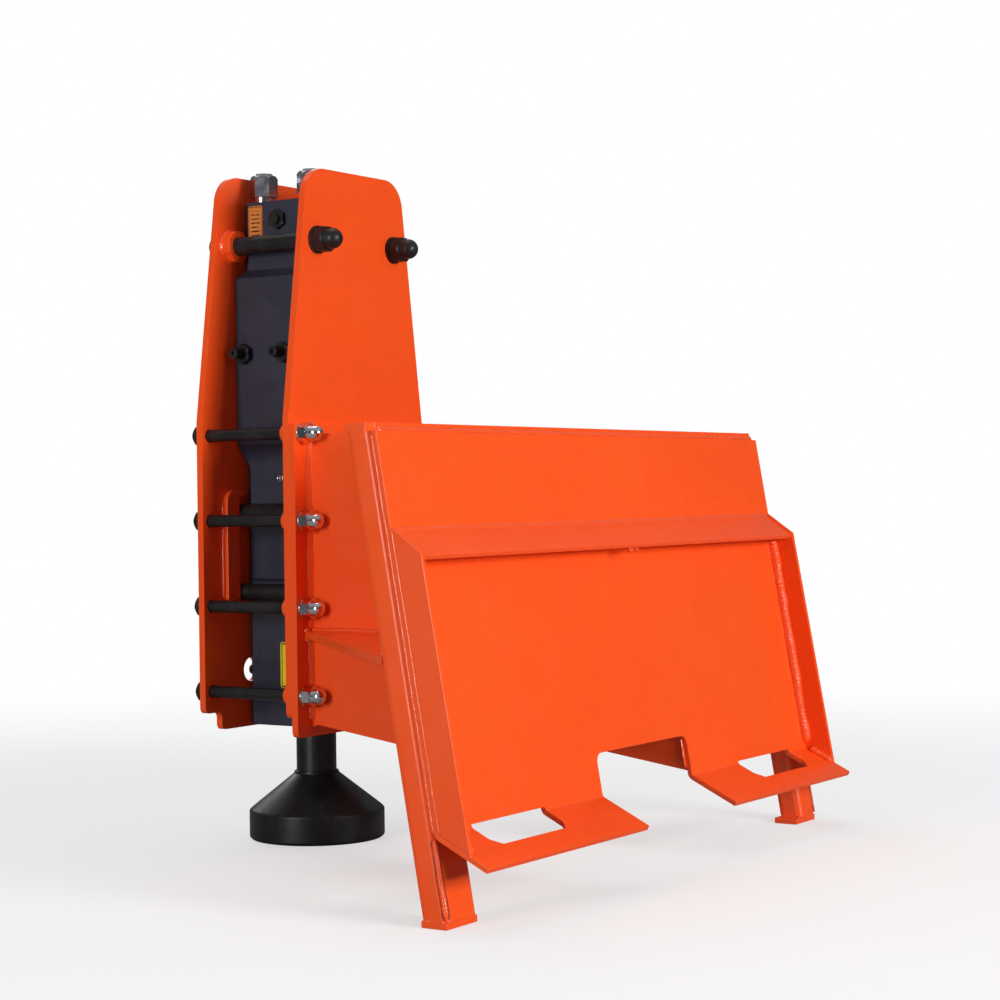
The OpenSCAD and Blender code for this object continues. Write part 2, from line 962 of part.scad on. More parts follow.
module pin_plugs() {
    color(rubber) difference() {
        for (x = sides) for (y = sides)
            rod_x(x * (lower_w / 2 - plug_t / 2) - plug_t / 2, y * pin_y, pin_z, plug_r, plug_t);
        rod_y(-port_x, -body_d / 2, port_z, lock_r, body_d);
    }
}

module pin_lock_rod() {
    color(steel) rod_y(-port_x, -body_d / 2, port_z, lock_r, body_d);
}

// ---------- inside the cylinder ----------

// the bush that guides the piston's upper end and carries the gas seals
module seal_carrier() {
    color(steel) difference() {
        ring(upper_rod_r + run, carrier_r, carrier_z, back_z);
        for (z = gas_seal_z) post(gas_seal_r, z, z + ring_h);
    }
}

module gas_seals() {
    color(rubber) for (z = gas_seal_z) ring(upper_rod_r + ring_gap, gas_seal_r, z, z + ring_h);
}

module oil_seals() {
    color(rubber) for (z = oil_seal_z) ring(rod_r + ring_gap, oil_seal_r, z, z + ring_h);
}

module piston() {
    color(steel) difference() {
        union() {
            post(rod_r, piston_z, head_low);
            post(piston_r, head_low, head_high);
            post(upper_rod_r, head_high, piston_top);
        }
        ring(piston_r - 3, piston_r + 1, (head_low + head_high) / 2 - 9, (head_low + head_high) / 2 + 9);
    }
}

module valve_sleeve() {
    color(steel) translate([valve_x, 0, 0]) difference() {
        ring(spool_r + run, sleeve_r, valve_z, valve_z + sleeve_l);
        for (k = [1:3]) translate([0, 0, valve_z + k * sleeve_l / 4]) rotate([0, 90, 0])
            cylinder(r = 4, h = 4 * sleeve_r, center = true);
    }
}

// a spool of three lands on a thinner stem
module valve_spool() {
    color(steel) translate([valve_x, 0, 0]) union() {
        post(spool_r - 5, valve_z, valve_z + spool_l);
        for (k = [0:2]) {
            z = valve_z + k * (spool_l - land_h) / 2;
            post(spool_r, z, z + land_h);
        }
    }
}

module valve_plug() {
    color(steel) translate([valve_x, 0, 0]) post(sleeve_r, valve_z + sleeve_l, back_z);
}

// ---------- tool ----------

// the shank, necked at the top and flattened for the retaining pins
module tool_shank() {
    pin_low = pin_z - pin_r - 2;
    flat_l = 2 * pin_r + tool_travel + 4;
    color(dark) difference() {
        union() {
            post(shank_r, cup_depth + 6, thrust_z);
            post(shank_top_r, thrust_z, tool_top);
        }
        for (y = sides) translate([-shank_d / 2, y * (flat_y + shank_r) - shank_r, pin_low])
            cube([shank_d, shank_d, flat_l]);
    }
}

// the cup: cone, straight skirt and the bore that a post stands in
module driving_cup() {
    r = cup_d / 2;
    lip = 4;
    color(dark) difference() {
        rotate_extrude($fn = 96) polygon([
            [0, 0], [r - lip, 0], [r, lip], [r, skirt_h - lip], [r - lip, skirt_h],
            [shank_r + lip, cone_top - lip], [shank_r + lip, cone_top], [0, cone_top]
        ]);
        post(cup_bore / 2, -1, cup_depth);
        post(shank_r, cup_depth + 6, cone_top + 1);
    }
}

// ---------- blank labels ----------

module head_label() {
    color("darkorange") translate([-neck_w / 2 - label_t, 34, 1010]) cube([label_t, 30, 62]);
}

module front_label() {
    color("gold") translate([-lower_w / 2 - label_t, -51, 260]) cube([label_t, 60, 77]);
}

skid_plate();
hook_lip();
side_gusset_left();
side_gusset_right();
top_cover();
stand_leg_left();
stand_leg_right();
foot_plate_left();
foot_plate_right();
adapter_flange();
adapter_side_left();
adapter_side_right();
side_brace_left();
side_brace_right();
side_plate_near();
side_plate_far();
top_bosses();
rod_collars();
key_brackets_near();
key_brackets_far();
upper_keys();
lower_keys();
top_bolts();
top_cap_nuts();
tie_bolts();
tie_washers();
tie_acorn_nuts();
back_head();
cylinder_node();  // cylinder
front_head();
through_bolts();
hose_adapters();
adapter_caps();
gas_valve();
gas_valve_cap();
cylinder_adjuster();
valve_adjuster();
adjuster_lock_nuts();
grease_nipple();
front_bush();
upper_bush();
thrust_ring();
dust_seal();
retaining_pins();
pin_plugs();
pin_lock_rod();
seal_carrier();
gas_seals();
oil_seals();
piston();
valve_sleeve();
valve_spool();
valve_plug();
tool_shank();
driving_cup();
head_label();
front_label();
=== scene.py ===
"""Looks of the post-driving breaker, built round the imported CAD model, in metres."""

import json
import math
import random

import bmesh
import bpy
from mathutils import Matrix, Vector


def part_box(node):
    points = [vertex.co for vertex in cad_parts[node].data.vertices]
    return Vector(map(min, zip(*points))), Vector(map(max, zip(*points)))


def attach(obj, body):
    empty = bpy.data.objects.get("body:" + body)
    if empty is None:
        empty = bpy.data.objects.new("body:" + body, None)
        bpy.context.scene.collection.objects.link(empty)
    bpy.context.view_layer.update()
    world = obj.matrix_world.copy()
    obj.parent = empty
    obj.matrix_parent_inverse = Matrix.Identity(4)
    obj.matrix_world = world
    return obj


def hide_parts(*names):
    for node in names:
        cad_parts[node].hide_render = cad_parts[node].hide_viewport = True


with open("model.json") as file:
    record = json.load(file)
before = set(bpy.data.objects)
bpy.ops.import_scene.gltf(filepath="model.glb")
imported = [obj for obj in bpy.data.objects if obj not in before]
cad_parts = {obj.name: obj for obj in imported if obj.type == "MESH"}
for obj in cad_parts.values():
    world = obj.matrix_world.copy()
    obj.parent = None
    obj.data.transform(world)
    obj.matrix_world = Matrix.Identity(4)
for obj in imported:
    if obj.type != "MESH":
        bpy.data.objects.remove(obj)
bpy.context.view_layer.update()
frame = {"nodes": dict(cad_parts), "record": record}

MM = 0.001
NODES = frame["nodes"]

# ---------------------------------------------------------------- camera and studio

CAMERA_AT = Vector((-3.0526, -2.3643, 0.5896))
CAMERA_YAW = math.radians(56.98)
CAMERA_PITCH = math.radians(0.24)
CAMERA_ROLL = math.radians(-0.73)
SENSOR = 36.0
FOCAL = 2.2525
SHIFT = (0.0001, -0.0017)


def make_camera():
    forward = Vector((
        math.sin(CAMERA_YAW) * math.cos(CAMERA_PITCH),
        math.cos(CAMERA_YAW) * math.cos(CAMERA_PITCH),
        -math.sin(CAMERA_PITCH),
    ))
    level = Vector((math.cos(CAMERA_YAW), -math.sin(CAMERA_YAW), 0))
    upright = level.cross(forward)
    right = level * math.cos(CAMERA_ROLL) + upright * math.sin(CAMERA_ROLL)
    up = upright * math.cos(CAMERA_ROLL) - level * math.sin(CAMERA_ROLL)
    data = bpy.data.cameras.new("camera")
    data.sensor_width = SENSOR
    data.lens = SENSOR * FOCAL
    data.shift_x, data.shift_y = SHIFT
    data.clip_start, data.clip_end = 0.05, 200
    camera = bpy.data.objects.new("camera", data)
    bpy.context.scene.collection.objects.link(camera)
    camera.matrix_world = Matrix((right, up, -forward)).transposed().to_4x4()
    camera.location = CAMERA_AT
    bpy.context.scene.camera = camera


def area_light(name, at, aim, size, power, colour=(1, 1, 1)):
    data = bpy.data.lights.new(name, "AREA")
    data.shape = "RECTANGLE"
    data.size, data.size_y = size
    data.energy = power
    data.color = colour
    lamp = bpy.data.objects.new(name, data)
    bpy.context.scene.collection.objects.link(lamp)
    lamp.location = at
    lamp.rotation_mode = "QUATERNION"
    lamp.rotation_quaternion = (Vector(aim) - Vector(at)).to_track_quat("-Z", "Y")


# ---------------------------------------------------------------- shader helpers


class Shader:
    """A new node material whose nodes are added one call at a time."""

    def __init__(self, name):
        self.material = bpy.data.materials.new(name)
        self.material.use_nodes = True
        self.tree = self.material.node_tree
        self.surface = self.tree.nodes["Principled BSDF"]
        coordinates = self.tree.nodes.new("ShaderNodeTexCoord")
        self.place = coordinates.outputs["Object"]

    def add(self, kind, inputs, out=0, **settings):
        node = self.tree.nodes.new(kind)
        for key, value in settings.items():
            setattr(node, key, value)
        for key, value in inputs.items():
            self.feed(node.inputs[key], value)
        return node.outputs[out]

    def feed(self, socket, value):
        if isinstance(value, bpy.types.NodeSocket):
            self.tree.links.new(value, socket)
        else:
            socket.default_value = value

    def stretched(self, scale):
        return self.add("ShaderNodeMapping", {"Vector": self.place, "Scale": scale})

    def noise(self, scale, detail=3.0, roughness=0.5, at=None):
        return self.add("ShaderNodeTexNoise", {
            "Vector": at or self.place, "Scale": scale, "Detail": detail, "Roughness": roughness,
        })

    def ramp(self, value, low, high, to_low=0.0, to_high=1.0):
        return self.add("ShaderNodeMapRange", {
            "Value": value, "From Min": low, "From Max": high, "To Min": to_low, "To Max": to_high,
        })

    def mix(self, share, first, second):
        node = self.tree.nodes.new("ShaderNodeMix")
        node.data_type = "RGBA"
        self.feed(node.inputs["Factor"], share)
        colours = [s for s in node.inputs if s.type == "RGBA"]
        self.feed(colours[0], first)
        self.feed(colours[1], second)
        return [s for s in node.outputs if s.type == "RGBA"][0]

    def math(self, operation, first, second):
        return self.add("ShaderNodeMath", {0: first, 1: second}, operation=operation)

    def bump(self, height, distance, strength=1.0, under=None):
        inputs = {"Height": height, "Distance": distance, "Strength": strength}
        if under is not None:
            inputs["Normal"] = under
        return self.add("ShaderNodeBump", inputs)

    def set(self, **values):
        for key, value in values.items():
            self.feed(self.surface.inputs[key.replace("_", " ")], value)
        return self.material


def rgba(r, g, b):
    return (r, g, b, 1.0)


# ---------------------------------------------------------------- materials

ORANGE = rgba(0.94, 0.086, 0.009)
ORANGE_LIGHT = rgba(0.96, 0.098, 0.011)
ORANGE_DEEP = rgba(0.84, 0.060, 0.007)
PRIMER = rgba(0.20, 0.022, 0.012)


def paint(name, peel, chips, smoothest, roughest, coat, wave_scale, wave_depth):
    """Sprayed orange gloss: soft cloudy tone, orange peel, a few chips down to the primer."""
    s = Shader(name)
    tone = s.ramp(s.noise(2.6, 4.0), 0.3, 0.7)
    mottle = s.ramp(s.noise(38.0, 3.0), 0.35, 0.75, 0.0, 0.2)
    colour = s.mix(tone, ORANGE, ORANGE_LIGHT)
    colour = s.mix(mottle, colour, ORANGE_DEEP)
    speck = s.add("ShaderNodeTexVoronoi", {"Vector": s.place, "Scale": 210.0, "Randomness": 1.0})
    near = s.ramp(speck, 0.16, 0.08)
    patch = s.ramp(s.noise(9.0, 5.0, 0.65), chips, chips + 0.05)
    chip = s.math("MULTIPLY", near, patch)
    colour = s.mix(chip, colour, PRIMER)
    grain = s.noise(720.0, 2.0)
    wave = s.noise(wave_scale, 2.0)
    bumps = s.bump(wave, wave_depth, 0.45)
    bumps = s.bump(grain, 0.00006, peel, bumps)
    bumps = s.bump(chip, -0.0003, 0.7, bumps)
    rough = s.ramp(s.noise(14.0, 4.0), 0.3, 0.7, smoothest, roughest)
    rough = s.add("ShaderNodeMath", {0: rough, 1: s.math("MULTIPLY", chip, 0.35)}, operation="ADD")
    return s.set(
        Base_Color=colour, Roughness=rough, Normal=bumps,
        Coat_Weight=coat, Coat_Roughness=0.10, Specular_IOR_Level=0.28,
    )


def casting_paint(name):
    """Blue-black satin paint over a ground steel block, with its vertical grinding streaks in relief
    and also painted lighter as a painted sheen.
    """
    s = Shader(name)
    cloud = s.ramp(s.noise(6.0, 4.0), 0.3, 0.7)
    colour = s.mix(cloud, rgba(0.015, 0.018, 0.034), rgba(0.024, 0.028, 0.050))
    grinding_streak_and_painted_sheen = s.ramp(s.noise(1.0, 4.0, 0.6, s.stretched((260, 260, 9))), 0.35, 0.8)
    # The streaks lighten the colour here: a painted sheen of vertical reflections, added to their real
    # relief in the bump below.
    colour = s.mix(s.math("MULTIPLY", grinding_streak_and_painted_sheen, 0.35), colour, rgba(0.036, 0.041, 0.066))
    bumps = s.bump(s.noise(420.0, 3.0), 0.00012, 0.5)
    bumps = s.bump(grinding_streak_and_painted_sheen, 0.00005, 0.4, bumps)
    rough = s.ramp(s.noise(18.0, 5.0), 0.3, 0.7, 0.36, 0.52)
    return s.set(Base_Color=colour, Roughness=rough, Normal=bumps, Specular_IOR_Level=0.45)


def black_steel(name, low, high, tone):
    """Blackened steel: near black, with rubbed patches that shine."""
    s = Shader(name)
    rub = s.ramp(s.noise(26.0, 5.0, 0.62), 0.48, 0.72)
    colour = s.mix(rub, rgba(tone, tone, tone * 1.12), rgba(tone * 2.6, tone * 2.5, tone * 2.5))
    scratch = s.ramp(s.noise(1.0, 3.0, 0.6, s.stretched((900, 900, 40))), 0.62, 0.75)
    colour = s.mix(s.math("MULTIPLY", scratch, 0.25), colour, rgba(0.09, 0.088, 0.085))
    rough = s.ramp(s.noise(40.0, 4.0), 0.3, 0.7, low, high)
    bumps = s.bump(s.noise(520.0, 3.0), 0.00008, 0.5)
    return s.set(Base_Color=colour, Roughness=rough, Normal=bumps, Specular_IOR_Level=0.32)


def plated(name, tone, low, high):
    """Bright plating with fine handling marks."""
    s = Shader(name)
    mark = s.ramp(s.noise(1.0, 4.0, 0.65, s.stretched((500, 120, 500))), 0.5, 0.72)
    colour = s.mix(s.math("MULTIPLY", mark, 0.4), rgba(*tone), rgba(*(c * 0.62 for c in tone)))
    rough = s.ramp(s.noise(60.0, 5.0, 0.6), 0.3, 0.75, low, high)
    bumps = s.bump(s.noise(300.0, 3.0), 0.00006, 0.4)
    return s.set(Base_Color=colour, Roughness=rough, Normal=bumps, Metallic=1.0)


def ground_steel(name, tone, rings):
    """Machined metal with fine turning marks along the tool's axis."""
    s = Shader(name)
    turned = s.noise(1.0, 2.0, 0.5, s.stretched((20, 20, rings)))
    colour = s.mix(s.ramp(turned, 0.3, 0.7), rgba(*tone), rgba(*(c * 0.78 for c in tone)))
    rough = s.ramp(s.noise(30.0, 4.0), 0.3, 0.7, 0.22, 0.36)
    bumps = s.bump(turned, 0.00004, 0.6)
    return s.set(Base_Color=colour, Roughness=rough, Normal=bumps, Metallic=1.0)


def rubber(name):
    s = Shader(name)
    dust = s.ramp(s.noise(35.0, 5.0, 0.6), 0.45, 0.8)
    colour = s.mix(dust, rgba(0.012, 0.012, 0.014), rgba(0.03, 0.029, 0.028))
    bumps = s.bump(s.noise(380.0, 3.0), 0.0001, 0.5)
    rough = s.ramp(dust, 0.0, 1.0, 0.55, 0.75)
    return s.set(Base_Color=colour, Roughness=rough, Normal=bumps)


def film(name, ground, ink):
    """A printed label with a plain border and plain bars, and no lettering."""
    s = Shader(name)
    generated = s.tree.nodes.new("ShaderNodeTexCoord").outputs["Generated"]
    axes = s.add("ShaderNodeSeparateXYZ", {"Vector": generated}).node
    across, up = axes.outputs["Y"], axes.outputs["Z"]
    side = s.math("ABSOLUTE", s.math("SUBTRACT", across, 0.5), 0.0)
    top = s.math("ABSOLUTE", s.math("SUBTRACT", up, 0.5), 0.0)
    reach = s.math("MAXIMUM", side, s.math("SUBTRACT", top, 0.02))
    border = s.math("MULTIPLY", s.math("GREATER_THAN", reach, 0.43), s.math("LESS_THAN", reach, 0.46))
    bar = s.math("GREATER_THAN", s.math("FRACT", s.math("MULTIPLY", up, 9.0), 0.0), 0.62)
    inside = s.math("MULTIPLY", s.math("LESS_THAN", side, 0.30), s.math("LESS_THAN", top, 0.36))
    ink_share = s.math("MAXIMUM", border, s.math("MULTIPLY", bar, inside))
    worn = s.ramp(s.noise(160.0, 4.0, 0.7), 0.36, 0.46)
    share = s.math("MULTIPLY", ink_share, worn)
    shade = rgba(*(c * 0.85 for c in ground[:3]))
    paper = s.mix(s.ramp(s.noise(40.0), 0.3, 0.7), ground, shade)
    colour = s.mix(share, paper, ink)
    rough = s.ramp(s.noise(70.0, 4.0), 0.3, 0.7, 0.30, 0.48)
    return s.set(Base_Color=colour, Roughness=rough, Normal=s.bump(share, 0.00005, 0.5))


PAINT = paint("orange_paint", 0.35, 0.72, 0.28, 0.40, 0.12, 85.0, 0.0004)
WELD_PAINT = paint("orange_paint_on_weld", 0.6, 0.70, 0.12, 0.20, 1.0, 230.0, 0.0032)
CASTING = casting_paint("blue_black_casting_paint")
BLACK = black_steel("blackened_steel", 0.30, 0.46, 0.010)
TOOL_BLACK = black_steel("tool_black", 0.30, 0.42, 0.008)
CHROME = plated("bright_plating", (0.80, 0.81, 0.84), 0.07, 0.20)
CAP_PLATING = plated("dark_plating", (0.50, 0.50, 0.55), 0.16, 0.30)
STEEL = ground_steel("ground_steel", (0.56, 0.57, 0.58), 900)
BRONZE = ground_steel("bush_bronze", (0.62, 0.40, 0.16), 700)
RUBBER = rubber("seal_rubber")
YELLOW_FILM = film("yellow_label", rgba(0.92, 0.72, 0.01), rgba(0.02, 0.02, 0.02))
ORANGE_FILM = film("orange_label", rgba(0.80, 0.26, 0.04), rgba(0.06, 0.02, 0.01))

SLOT_MATERIAL = {
    "painted_steel": PAINT,
    "black_casting": CASTING,
    "black_oxide": BLACK,
    "chrome": CHROME,
    "hard_steel": STEEL,
    "bush_bronze": BRONZE,
    "rubber": RUBBER,
    "tool_steel": TOOL_BLACK,
    "label_film": YELLOW_FILM,
}
NODE_MATERIAL = {
    "adapter_caps": CAP_PLATING,
    "hose_adapters": CAP_PLATING,
    "head_label": ORANGE_FILM,
    "pin_plugs": CASTING,
}

# ---------------------------------------------------------------- edges of the CAD nodes

SHARP = math.radians(34)
EDGE_WIDTH = {
    "painted_steel": 1.4,
    "black_casting": 1.8,
    "black_oxide": 0.7,
    "chrome": 0.5,
    "tool_steel": 1.6,
}
EDGE_OF_NODE = {"grease_nipple": 0.2, "top_cap_nuts": 0.9, "tie_washers": 0.4, "pin_plugs": 2.2}


def shading_group():
    """A node tree that makes faces smooth and keeps sharp edges sharp."""
    group = bpy.data.node_groups.new("smooth_by_angle", "GeometryNodeTree")
    group.interface.new_socket("Geometry", in_out="INPUT", socket_type="NodeSocketGeometry")
    group.interface.new_socket("Geometry", in_out="OUTPUT", socket_type="NodeSocketGeometry")
    start = group.nodes.new("NodeGroupInput")
    end = group.nodes.new("NodeGroupOutput")
    faces = group.nodes.new("GeometryNodeSetShadeSmooth")
    edges = group.nodes.new("GeometryNodeSetShadeSmooth")
    edges.domain = "EDGE"
    edges.inputs["Shade Smooth"].default_value = False
    angle = group.nodes.new("GeometryNodeInputMeshEdgeAngle")
    sharper = group.nodes.new("FunctionNodeCompare")
    sharper.inputs[1].default_value = SHARP
    link = group.links.new
    link(start.outputs[0], faces.inputs[0])
    link(faces.outputs[0], edges.inputs[0])
    link(angle.outputs[0], sharper.inputs[0])
    link(sharper.outputs[0], edges.inputs["Selection"])
    link(edges.outputs[0], end.inputs[0])
    return group


SMOOTH = shading_group()


def soften(piece, width):
    """Rounds a piece's hard edges by width millimetres, as broken and painted edges are."""
    weld = piece.modifiers.new("weld", "WELD")
    weld.merge_threshold = 0.01 * MM
    flat = piece.modifiers.new("flat", "DECIMATE")
    flat.decimate_type = "DISSOLVE"
    flat.angle_limit = math.radians(0.4)
    edge = piece.modifiers.new("edge", "BEVEL")
    edge.width = width * MM
    edge.segments = 2
    edge.limit_method = "ANGLE"
    edge.angle_limit = SHARP
    edge.miter_outer = "MITER_ARC"
    edge.harden_normals = False
    smooth = piece.modifiers.new("smooth", "NODES")
    smooth.node_group = SMOOTH
    normals = piece.modifiers.new("normals", "WEIGHTED_NORMAL")
    normals.keep_sharp = True


def dress_nodes():
    slots = {row["node"]: row["material_slot"] for row in frame["record"]["subparts"]}
    for name, node in NODES.items():
        look = NODE_MATERIAL.get(name, SLOT_MATERIAL[slots[name]])
        node.data.materials.clear()
        node.data.materials.append(look)
        width = EDGE_OF_NODE.get(name, EDGE_WIDTH.get(slots[name], 0))
        if width:
            soften(node, width)


dress_nodes()

# ---------------------------------------------------------------- weld beads

X, Y, Z = Vector((1, 0, 0)), Vector((0, 1, 0)), Vector((0, 0, 1))
LEAN = math.radians(10)
TAB_ANGLE = math.radians(36)
LIP_ANGLE = math.radians(45)
BEND = Vector((0, -650, 127))
BACK = Y * math.cos(LEAN) - Z * math.sin(LEAN)
RISE = Y * math.sin(LEAN) + Z * math.cos(LEAN)
TAB_OUT = -BACK * math.cos(TAB_ANGLE) - RISE * math.sin(TAB_ANGLE)
TAB_UP = -BACK * math.sin(TAB_ANGLE) + RISE * math.cos(TAB_ANGLE)
LIP_OUT = -BACK * math.cos(LIP_ANGLE) - RISE * math.sin(LIP_ANGLE)
PLATE_T = 8
LIP_H = 415
LIP_UNDER = LIP_H - PLATE_T / math.cos(LIP_ANGLE)
LEG_D = 45
SIDES = (-1, 1)
# Faces across a bead, and sections along each of its ripples
ACROSS = 8
SECTIONS = 4
# Where the hook lip's tip is, along the lip and below its top face
TIP_ALONG, TIP_BELOW = 58, 8.5
# Where the bead on a tab starts and ends, from the bend
TAB_BEAD_FROM, TAB_BEAD_TO = 6, 54
# How far above the web's lower end its bead on the flange starts
WEB_BEAD_UP = 84
COLLAR_R = 15.5
COLLAR_ROWS = 4


def box_mm(node):
    low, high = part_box(node)
    return low / MM, high / MM


PLATE_X = box_mm("skid_plate")[1].x
GUSSET_X = box_mm("side_gusset_right")[0].x
COVER_LOW, COVER_HIGH = box_mm("top_cover")
FLANGE_LOW, FLANGE_HIGH = box_mm("adapter_flange")
WEB_LOW, WEB_HIGH = box_mm("adapter_side_right")
BRACE_LOW, BRACE_HIGH = box_mm("side_brace_right")
FOOT_LOW, FOOT_HIGH = box_mm("foot_plate_right")
LEG_IN = {-1: box_mm("stand_leg_left")[1].x, 1: box_mm("stand_leg_right")[0].x}
FAR_FACE = box_mm("side_plate_far")[0].y
NEAR_FACE = box_mm("side_plate_near")[1].y


def on_plate(x, back, rise):
    """A point in millimetres from the plate's own frame: its front face and its bend are zero."""
    return BEND + X * x + BACK * back + RISE * rise


def plate_rise(z, back):
    """How far up the plate a horizontal level is, at a depth behind the front face."""
    return (z - BEND.z + back * math.sin(LEAN)) / math.cos(LEAN)


def straight(start, end):
    return (end - start).length, lambda s: start + (end - start).normalized() * s


def drift(dice, length, gap):
    """Slow random wander along a bead, from -1 to 1."""
    count = int(length / gap) + 3
    values = [dice.uniform(-1, 1) for _ in range(count)]

    def at(s):
        k = int(s / gap)
        share = s / gap - k
        share = share * share * (3 - 2 * share)
        return values[k] * (1 - share) + values[k + 1] * share

    return at


def bead(line, u, v, leg, seed, bulge=0.20, ripple=0.075, pitch=4.0, out=None):
    """A closed strip of overlapping weld ripples in the corner between directions u and v.

    bulge and ripple are shares of the leg, pitch is the ripples' spacing in millimetres, and out
    is the way the bead's crown points when it isn't midway between u and v.
    """
    length, at = line
    dice = random.Random(seed)
    width_drift = drift(dice, length, 17.0)
    side_drift = drift(dice, length, 29.0)
    pitch_drift = drift(dice, length, 23.0)
    steps = max(6, round(length / pitch * SECTIONS))
    rows = []
    for i in range(steps + 1):
        s = length * i / steps
        centre = at(s)
        du, dv = (u(s), v(s)) if callable(u) else (u, v)
        outward = out or (du + dv).normalized()
        near_end = min(s, length - s) / leg
        taper = math.sqrt(max(0.02, 1 - max(0.0, 1 - near_end) ** 2))
        width = leg * (1 + 0.10 * width_drift(s)) * taper
        shift = 0.05 * side_drift(s)
        row = []
        for k in range(ACROSS + 1):
            t = k / ACROSS
            crown = math.sin(math.pi * t)
            phase = (s + 1.6 * pitch_drift(s)) / pitch - 0.55 * crown
            wave = 1 - (phase - math.floor(phase))
            height = width * (bulge + ripple * wave) * crown - 0.35 * (1 - crown)
            point = centre + du * width * (1 - t + shift) + dv * width * (t - shift)
            row.append(point + outward * height)
        row.append(centre - outward * 0.8)
        rows.append(row)
    ring = ACROSS + 2
    verts = [p * MM for row in rows for p in row]
    faces = []
    for i in range(steps):
        for k in range(ring):
            a, b = i * ring + k, i * ring + (k + 1) % ring
            faces.append((a, b, b + ring, a + ring))
    faces.append(tuple(reversed(range(ring))))
    faces.append(tuple(steps * ring + k for k in range(ring)))
    return verts, faces


def add_piece(name, parts, look, smooth=True):
    verts, faces = [], []
    for part_verts, part_faces in parts:
        base = len(verts)
        verts += part_verts
        faces += [tuple(base + k for k in f) for f in part_faces]
    mesh = bpy.data.meshes.new(name)
    mesh.from_pydata([tuple(p) for p in verts], [], faces)
    mesh.validate()
    mesh.update()
    turn_outward(mesh)
    mesh.materials.append(look)
    mesh.shade_smooth() if smooth else mesh.shade_flat()
    piece = bpy.data.objects.new(name, mesh)
    bpy.context.scene.collection.objects.link(piece)
    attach(piece, "frame")
    return piece


def turn_outward(mesh):
    """Makes every closed strip's faces look outwards."""
    work = bmesh.new()
    work.from_mesh(mesh)
    bmesh.ops.recalc_face_normals(work, faces=work.faces)
    work.to_mesh(mesh)
    work.free()


def gusset_welds():
    beads = []
    for side in SIDES:
        inner = side * GUSSET_X
        away = X * -side
        line = straight(on_plate(inner, 0, 6), on_plate(inner, 0, LIP_UNDER - 2))
        beads.append(bead(line, away, -BACK, 12.0, 11 + side, bulge=0.16, ripple=0.30, pitch=6.5))
        corner = on_plate(inner, 0, 0)
        line = straight(corner + TAB_OUT * TAB_BEAD_FROM, corner + TAB_OUT * TAB_BEAD_TO)
        beads.append(bead(line, away, TAB_UP, 10.0, 21 + side, bulge=0.16, ripple=0.28, pitch=6.5))
        edge = side * (PLATE_X - 0.6)
        line = straight(on_plate(edge, 0, 2), on_plate(edge, 0, LIP_H))
        beads.append(bead(line, BACK, -BACK, 3.2, 31 + side, 0.34, 0.12, 5.0, X * side))
        top = plate_rise(COVER_LOW.z, PLATE_T)
        edge = side * (PLATE_X - 2.0)
        line = straight(on_plate(edge, PLATE_T + 1, 2), on_plate(edge, PLATE_T + 1, top - 4))
        beads.append(bead(line, BACK, -BACK, 4.6, 41 + side, 0.42, 0.13, 5.0, X * side))
    return beads


def lip_welds():
    x = GUSSET_X
    above = straight(on_plate(-x, 0, LIP_H), on_plate(x, 0, LIP_H))
    below = straight(on_plate(-x, 0, LIP_UNDER), on_plate(x, 0, LIP_UNDER))
    beads = [
        bead(above, RISE, LIP_OUT, 3.6, 51, bulge=0.10, ripple=0.05),
        bead(below, -RISE, LIP_OUT, 5.5, 52),
    ]
    tip = on_plate(0, 0, LIP_H) + LIP_OUT * TIP_ALONG - RISE * TIP_BELOW
    for start, length, leg, seed in ((-14, 15, 4.2, 53), (7, 11, 3.0, 54)):
        line = straight(tip + X * start, tip + X * (start + length))
        beads.append(bead(line, -RISE, BACK, leg, seed, bulge=0.5, ripple=0.1))
    return beads


def cover_welds():
    y, z = COVER_LOW.y, COVER_LOW.z
    reach = PLATE_X - 9
    line = straight(Vector((-reach, y, z)), Vector((reach, y, z)))
    beads = [bead(line, -Y, Z, 6.8, 61, bulge=0.22, ripple=0.17)]
    for side in SIDES:
        edge = Vector((side * (PLATE_X - 1.2), y + 10, z))
        back = Vector((edge.x, COVER_HIGH.y - 5, z))
        beads.append(bead(straight(edge, back), Z, -Z, 3.4, 63 + side, 0.3, 0.06, 4.5, X * side))
    return beads


def web_welds():
    beads = []
    low, high = WEB_LOW.z + WEB_BEAD_UP, FLANGE_HIGH.z - 8
    top = plate_rise(COVER_LOW.z, PLATE_T) - 6
    for side in SIDES:
        for face, away, seed in ((WEB_HIGH.x, X * side, 71), (WEB_LOW.x, X * -side, 75)):
            x = side * face
            line = straight(Vector((x, FLANGE_LOW.y, low)), Vector((x, FLANGE_LOW.y, high)))
            beads.append(bead(line, -Y, away, 8.0, seed + side, bulge=0.03, ripple=0.0, pitch=8.0))
            line = straight(on_plate(x, PLATE_T, 12), on_plate(x, PLATE_T, top))
            beads.append(bead(line, BACK, away, 6.0, seed + side + 20, pitch=5.0))
    return beads


